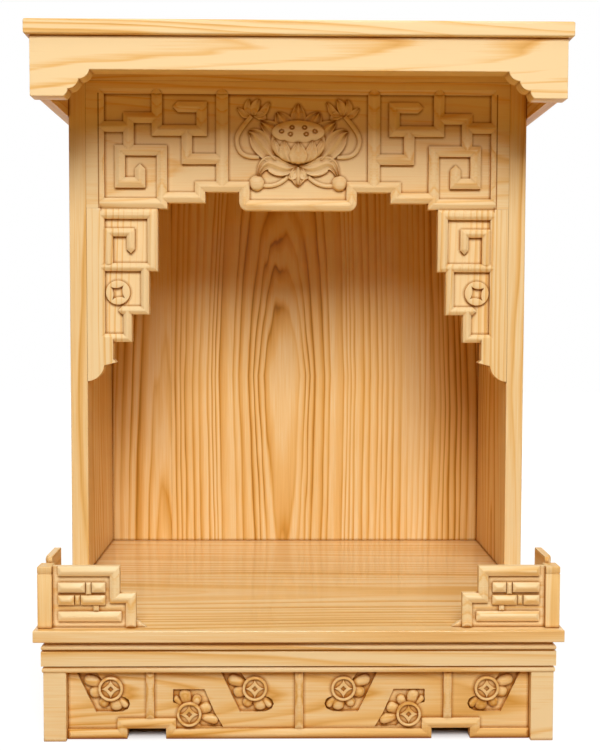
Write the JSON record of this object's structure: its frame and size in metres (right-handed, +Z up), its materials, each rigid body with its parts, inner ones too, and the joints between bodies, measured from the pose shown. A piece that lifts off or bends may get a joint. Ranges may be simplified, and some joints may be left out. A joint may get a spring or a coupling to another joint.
{
  "type": "altar cabinet",
  "caption": "Small open pine altar cabinet: a niche under a projecting scalloped canopy, carved fret screen, low corner balustrades and carved base.",
  "frame": {"origin": "on the ground, at the middle of the overall box", "axes": "+Z up, +X to the viewer's right, the open front faces -Y"},
  "size_m": [0.48, 0.38, 0.614],
  "materials": {
    "pine_upright": "clear varnish, grain upright",
    "pine_across": "clear varnish, grain side to side",
    "pine_front_to_back": "clear varnish, grain front to back"
  },
  "bodies": {
    "root": {"left_front_post": "pine_upright", "right_front_post": "pine_upright", "left_side_panel": "pine_upright", "right_side_panel": "pine_upright", "back_panel": "pine_upright", "left_drop_bracket": "pine_upright", "right_drop_bracket": "pine_upright", "left_corner_post": "pine_upright", "right_corner_post": "pine_upright", "floor_board": "pine_across", "ceiling_board": "pine_across", "top_board": "pine_across", "canopy_front_fascia": "pine_across", "valance_panel": "pine_across", "left_front_rail": "pine_across", "right_front_rail": "pine_across", "front_cornice": "pine_across", "front_apron": "pine_across", "rear_cornice_rail": "pine_across", "rear_apron": "pine_across", "left_front_leg": "pine_across", "right_front_leg": "pine_across", "left_rear_leg": "pine_across", "right_rear_leg": "pine_across", "canopy_left_fascia": "pine_front_to_back", "canopy_right_fascia": "pine_front_to_back", "left_side_rail": "pine_front_to_back", "right_side_rail": "pine_front_to_back", "left_cornice": "pine_front_to_back", "right_cornice": "pine_front_to_back", "left_side_apron": "pine_front_to_back", "right_side_apron": "pine_front_to_back"}
  },
  "joints": []
}
